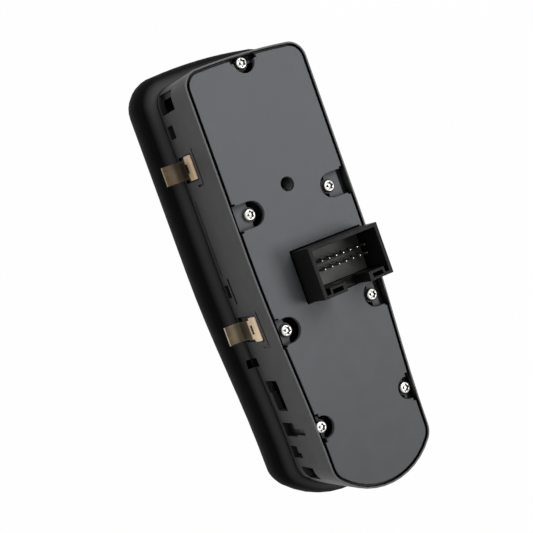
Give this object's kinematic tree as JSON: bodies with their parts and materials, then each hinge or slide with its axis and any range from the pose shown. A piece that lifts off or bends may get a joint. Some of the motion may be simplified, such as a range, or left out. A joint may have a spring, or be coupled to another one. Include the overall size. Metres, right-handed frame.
{
  "type": "power window switch",
  "caption": "Master power window switch for a vehicle door, back side up: screwed rear cover, wiring socket, side spring clips, rolled bezel, window rockers and mirror controls.",
  "frame": {"origin": "middle of the bezel's front face, on which the part lies", "axes": "+Z out of the rear cover towards the wiring side, +Y along the length towards the wide end, +X to the side the connector is nearer to"},
  "size_m": [0.0562, 0.1456, 0.0526],
  "materials": {
    "housing_plastic": "fine moulded grain, dark grey",
    "cover_plastic": "satin moulded grain, mid grey",
    "bezel_plastic": "soft satin black",
    "board": "solder mask, semi-gloss",
    "connector_plastic": "glass filled, satin black",
    "carrier_plastic": "satin, mid grey",
    "tinned_pins": "tinned",
    "screw_steel": "zinc plated",
    "clip_steel": "spring steel with a warm coating",
    "silicone": "matt silicone",
    "chip_case": "moulded epoxy",
    "can": "sleeved can",
    "led": "clear resin",
    "inner_plastic": "natural acetal",
    "key_plastic": "soft-touch black",
    "contact_brass": "bright contact strip"
  },
  "bodies": {
    "housing": {"switch_housing": "housing_plastic", "rear_cover": "cover_plastic", "front_bezel": "bezel_plastic", "circuit_board": "board", "connector_header": "connector_plastic", "pin_carrier": "carrier_plastic", "connector_pins": "tinned_pins", "cover_screws": "screw_steel", "upper_left_clip": "clip_steel", "upper_right_clip": "clip_steel", "lower_left_clip": "clip_steel", "lower_right_clip": "clip_steel", "mirror_key_mat": "silicone", "lockout_key_pad": "silicone", "control_chip": "chip_case", "buffer_capacitor": "can", "backlight_leds": "led"},
    "rocker_a_left": {"rocker_a_left": "key_plastic"},
    "slider_a_left": {"slider_a_left": "inner_plastic", "wiper_a_left": "contact_brass"},
    "rocker_a_right": {"rocker_a_right": "key_plastic"},
    "slider_a_right": {"slider_a_right": "inner_plastic", "wiper_a_right": "contact_brass"},
    "rocker_b_left": {"rocker_b_left": "key_plastic"},
    "slider_b_left": {"slider_b_left": "inner_plastic", "wiper_b_left": "contact_brass"},
    "rocker_b_right": {"rocker_b_right": "key_plastic"},
    "slider_b_right": {"slider_b_right": "inner_plastic", "wiper_b_right": "contact_brass"},
    "gimbal": {"gimbal_ring": "inner_plastic"},
    "knob": {"mirror_knob": "key_plastic", "knob_actuator": "inner_plastic"},
    "mirror_left_button": {"mirror_left_button": "key_plastic"},
    "mirror_right_button": {"mirror_right_button": "key_plastic"},
    "lockout_button": {"lockout_button": "key_plastic"}
  },
  "joints": [
    {"name": "rocker_a_left_tilt", "type": "hinge", "parent": "housing", "child": "rocker_a_left", "pos_m": [-0.0089, 0.03931, 0.008], "axis": [1, 0, 0], "range_deg": [-6, 6], "stiffness_Nm_per_rad": 0.05},
    {"name": "rocker_a_right_tilt", "type": "hinge", "parent": "housing", "child": "rocker_a_right", "pos_m": [0.0089, 0.03931, 0.008], "axis": [1, 0, 0], "range_deg": [-6, 6], "stiffness_Nm_per_rad": 0.05},
    {"name": "rocker_b_left_tilt", "type": "hinge", "parent": "housing", "child": "rocker_b_left", "pos_m": [-0.0089, 0.00728, 0.008], "axis": [1, 0, 0], "range_deg": [-6, 6], "stiffness_Nm_per_rad": 0.05},
    {"name": "rocker_b_right_tilt", "type": "hinge", "parent": "housing", "child": "rocker_b_right", "pos_m": [0.0089, 0.00728, 0.008], "axis": [1, 0, 0], "range_deg": [-6, 6], "stiffness_Nm_per_rad": 0.05},
    {"name": "slider_a_left_travel", "type": "slide", "parent": "housing", "child": "slider_a_left", "axis": [0, 1, 0], "range_m": [-0.0021, 0.0021]},
    {"name": "slider_a_right_travel", "type": "slide", "parent": "housing", "child": "slider_a_right", "axis": [0, 1, 0], "range_m": [-0.0021, 0.0021]},
    {"name": "slider_b_left_travel", "type": "slide", "parent": "housing", "child": "slider_b_left", "axis": [0, 1, 0], "range_m": [-0.0021, 0.0021]},
    {"name": "slider_b_right_travel", "type": "slide", "parent": "housing", "child": "slider_b_right", "axis": [0, 1, 0], "range_m": [-0.0021, 0.0021]},
    {"name": "gimbal_tip", "type": "hinge", "parent": "housing", "child": "gimbal", "pos_m": [0, -0.04586, 0.011], "axis": [1, 0, 0], "range_deg": [-6, 6], "stiffness_Nm_per_rad": 0.05},
    {"name": "knob_tip", "type": "hinge", "parent": "gimbal", "child": "knob", "pos_m": [0, -0.04586, 0.011], "axis": [0, 1, 0], "range_deg": [-6, 6], "stiffness_Nm_per_rad": 0.05},
    {"name": "mirror_left_button_press", "type": "slide", "parent": "housing", "child": "mirror_left_button", "axis": [0, 0, 1], "range_m": [0, 0.001], "stiffness_N_per_m": 200},
    {"name": "mirror_right_button_press", "type": "slide", "parent": "housing", "child": "mirror_right_button", "axis": [0, 0, 1], "range_m": [0, 0.001], "stiffness_N_per_m": 200},
    {"name": "lockout_button_press", "type": "slide", "parent": "housing", "child": "lockout_button", "axis": [0, 0, 1], "range_m": [0, 0.001], "stiffness_N_per_m": 200}
  ],
  "couplings": [
    {"joint": "rocker_a_left_tilt", "follows": "slider_a_left_travel", "rad_per_m": -49.751},
    {"joint": "rocker_a_right_tilt", "follows": "slider_a_right_travel", "rad_per_m": -49.751},
    {"joint": "rocker_b_left_tilt", "follows": "slider_b_left_travel", "rad_per_m": -49.751},
    {"joint": "rocker_b_right_tilt", "follows": "slider_b_right_travel", "rad_per_m": -49.751}
  ]
}
